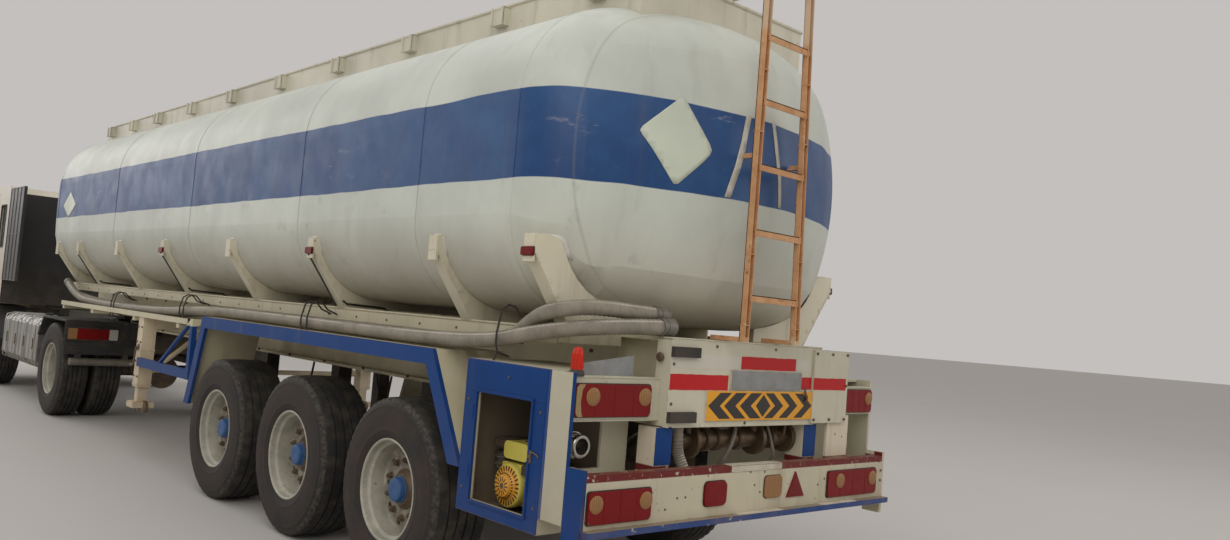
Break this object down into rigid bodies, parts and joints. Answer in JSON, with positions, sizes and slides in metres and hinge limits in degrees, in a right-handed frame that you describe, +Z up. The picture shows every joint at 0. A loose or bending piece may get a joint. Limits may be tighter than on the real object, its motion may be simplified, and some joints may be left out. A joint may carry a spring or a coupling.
{
  "type": "articulated tanker truck with tank semi-trailer",
  "caption": "Articulated tanker: cab-over tractor coupled to a rounded-box tank semi-trailer with a rear ladder, open pump cabinet, hose tray and tail board.",
  "frame": {"origin": "on the road, at the middle of the whole vehicle's length and width", "axes": "+X forward towards the cab, +Y to the vehicle's left, +Z up"},
  "size_m": [14.5, 2.9, 3.5998],
  "materials": {
    "tank_paint": "satin",
    "cream_paint": "satin",
    "blue_paint": "satin",
    "yellow_paint": "gloss",
    "ladder_rust": "matt",
    "cab_paint": "gloss",
    "dark_steel": "matt",
    "grey_steel": "satin",
    "dark_plastic": "matt",
    "lamp": "gloss",
    "rubber": "matt",
    "hose": "matt",
    "tyre": "matt",
    "glass": "gloss",
    "trim": "matt",
    "aluminium": "satin"
  },
  "bodies": {
    "trailer": {"tank": "tank_paint", "tank_saddles": "cream_paint", "coaming": "cream_paint", "manhole_collars": "cream_paint", "ladder": "ladder_rust", "trailer_frame": "cream_paint", "landing_gear": "cream_paint", "side_guards": "blue_paint", "wheel_guards": "blue_paint", "hose_tray": "cream_paint", "rear_cabinets": "cream_paint", "petrol_pump": "yellow_paint", "rear_pipes": "grey_steel", "tail_board": "cream_paint", "rubber_buffers": "rubber", "trailer_bumper": "cream_paint", "trailer_lamps": "lamp", "trailer_axles": "dark_steel", "trailer_springs": "dark_steel", "hoses": "hose"},
    "tractor": {"tractor_frame": "dark_steel", "fifth_wheel": "dark_steel", "engine": "dark_steel", "front_axle": "dark_steel", "drive_axle": "dark_steel", "tractor_mudguards": "dark_plastic", "fuel_tank": "aluminium", "battery_box": "dark_plastic", "air_tank": "grey_steel", "front_bumper": "cab_paint", "tractor_lamps": "lamp"},
    "cab": {"cab_shell": "cab_paint", "cab_glass": "glass", "cab_interior": "trim", "mirrors": "dark_plastic", "side_fairings": "dark_plastic"},
    "trailer_wheel_left_1": {"trailer_wheel_left_1": "tyre"},
    "trailer_wheel_left_2": {"trailer_wheel_left_2": "tyre"},
    "trailer_wheel_left_3": {"trailer_wheel_left_3": "tyre"},
    "drive_wheels_left": {"drive_wheels_left": "tyre"},
    "knuckle_left": {"knuckle_left": "dark_steel"},
    "front_wheel_left": {"front_wheel_left": "tyre"},
    "trailer_wheel_right_1": {"trailer_wheel_right_1": "tyre"},
    "trailer_wheel_right_2": {"trailer_wheel_right_2": "tyre"},
    "trailer_wheel_right_3": {"trailer_wheel_right_3": "tyre"},
    "drive_wheels_right": {"drive_wheels_right": "tyre"},
    "knuckle_right": {"knuckle_right": "dark_steel"},
    "front_wheel_right": {"front_wheel_right": "tyre"},
    "door_left": {"door_left": "cab_paint", "door_glass_left": "glass"},
    "door_right": {"door_right": "cab_paint", "door_glass_right": "glass"},
    "steering_wheel": {"steering_wheel": "dark_plastic"},
    "manhole_lid_rear": {"manhole_lid_rear": "aluminium"},
    "manhole_lid_middle": {"manhole_lid_middle": "aluminium"},
    "manhole_lid_front": {"manhole_lid_front": "aluminium"},
    "cabinet_door_right": {"cabinet_door_right": "cream_paint"}
  },
  "joints": [
    {"name": "kingpin_yaw", "type": "hinge", "parent": "trailer", "child": "tractor", "pos_m": [2.7, 0, 1.2], "axis": [0, 0, 1], "range_deg": [-85, 85]},
    {"name": "trailer_wheel_left_1_roll", "type": "hinge", "parent": "trailer", "child": "trailer_wheel_left_1", "pos_m": [-5.5, 1.0575, 0.536], "axis": [0, 1, 0], "continuous": true},
    {"name": "trailer_wheel_left_2_roll", "type": "hinge", "parent": "trailer", "child": "trailer_wheel_left_2", "pos_m": [-4.19, 1.0575, 0.536], "axis": [0, 1, 0], "continuous": true},
    {"name": "trailer_wheel_left_3_roll", "type": "hinge", "parent": "trailer", "child": "trailer_wheel_left_3", "pos_m": [-2.88, 1.0575, 0.536], "axis": [0, 1, 0], "continuous": true},
    {"name": "drive_wheels_left_roll", "type": "hinge", "parent": "tractor", "child": "drive_wheels_left", "pos_m": [2.25, 0.905, 0.538], "axis": [0, 1, 0], "continuous": true},
    {"name": "steer_left", "type": "hinge", "parent": "tractor", "child": "knuckle_left", "pos_m": [5.85, 0.88, 0.538], "axis": [0, 0, 1], "range_deg": [-38, 38]},
    {"name": "front_wheel_left_roll", "type": "hinge", "parent": "knuckle_left", "child": "front_wheel_left", "pos_m": [5.85, 1.03, 0.538], "axis": [0, 1, 0], "continuous": true},
    {"name": "trailer_wheel_right_1_roll", "type": "hinge", "parent": "trailer", "child": "trailer_wheel_right_1", "pos_m": [-5.5, -1.0575, 0.536], "axis": [0, 1, 0], "continuous": true},
    {"name": "trailer_wheel_right_2_roll", "type": "hinge", "parent": "trailer", "child": "trailer_wheel_right_2", "pos_m": [-4.19, -1.0575, 0.536], "axis": [0, 1, 0], "continuous": true},
    {"name": "trailer_wheel_right_3_roll", "type": "hinge", "parent": "trailer", "child": "trailer_wheel_right_3", "pos_m": [-2.88, -1.0575, 0.536], "axis": [0, 1, 0], "continuous": true},
    {"name": "drive_wheels_right_roll", "type": "hinge", "parent": "tractor", "child": "drive_wheels_right", "pos_m": [2.25, -0.905, 0.538], "axis": [0, 1, 0], "continuous": true},
    {"name": "steer_right", "type": "hinge", "parent": "tractor", "child": "knuckle_right", "pos_m": [5.85, -0.88, 0.538], "axis": [0, 0, 1], "range_deg": [-38, 38]},
    {"name": "front_wheel_right_roll", "type": "hinge", "parent": "knuckle_right", "child": "front_wheel_right", "pos_m": [5.85, -1.03, 0.538], "axis": [0, 1, 0], "continuous": true},
    {"name": "cab_tilt", "type": "hinge", "parent": "tractor", "child": "cab", "pos_m": [7.2, 0, 0.85], "axis": [0, 1, 0], "range_deg": [0, 50]},
    {"name": "door_left_hinge", "type": "hinge", "parent": "cab", "child": "door_left", "pos_m": [7.003, 1.236, 1.9], "axis": [0, 0, -1], "range_deg": [0, 70]},
    {"name": "door_right_hinge", "type": "hinge", "parent": "cab", "child": "door_right", "pos_m": [7.003, -1.236, 1.9], "axis": [0, 0, 1], "range_deg": [0, 70]},
    {"name": "steering_wheel_turn", "type": "hinge", "parent": "cab", "child": "steering_wheel", "pos_m": [6.6, 0.6, 1.83], "axis": [-0.5, 0, 0.866], "range_deg": [-684, 684]},
    {"name": "manhole_lid_rear_hinge", "type": "hinge", "parent": "trailer", "child": "manhole_lid_rear", "pos_m": [-5.525, 0, 3.475], "axis": [0, -1, 0], "range_deg": [0, 105]},
    {"name": "manhole_lid_middle_hinge", "type": "hinge", "parent": "trailer", "child": "manhole_lid_middle", "pos_m": [-2.325, 0, 3.475], "axis": [0, -1, 0], "range_deg": [0, 105]},
    {"name": "manhole_lid_front_hinge", "type": "hinge", "parent": "trailer", "child": "manhole_lid_front", "pos_m": [0.875, 0, 3.475], "axis": [0, -1, 0], "range_deg": [0, 105]},
    {"name": "cabinet_door_right_hinge", "type": "hinge", "parent": "trailer", "child": "cabinet_door_right", "pos_m": [-6.348, -1.257, 0.92], "axis": [0, 0, 1], "range_deg": [0, 100]}
  ],
  "couplings": [
    {"joint": "steer_right", "follows": "steer_left", "ratio": 1},
    {"joint": "steering_wheel_turn", "follows": "steer_left", "ratio": 18}
  ]
}
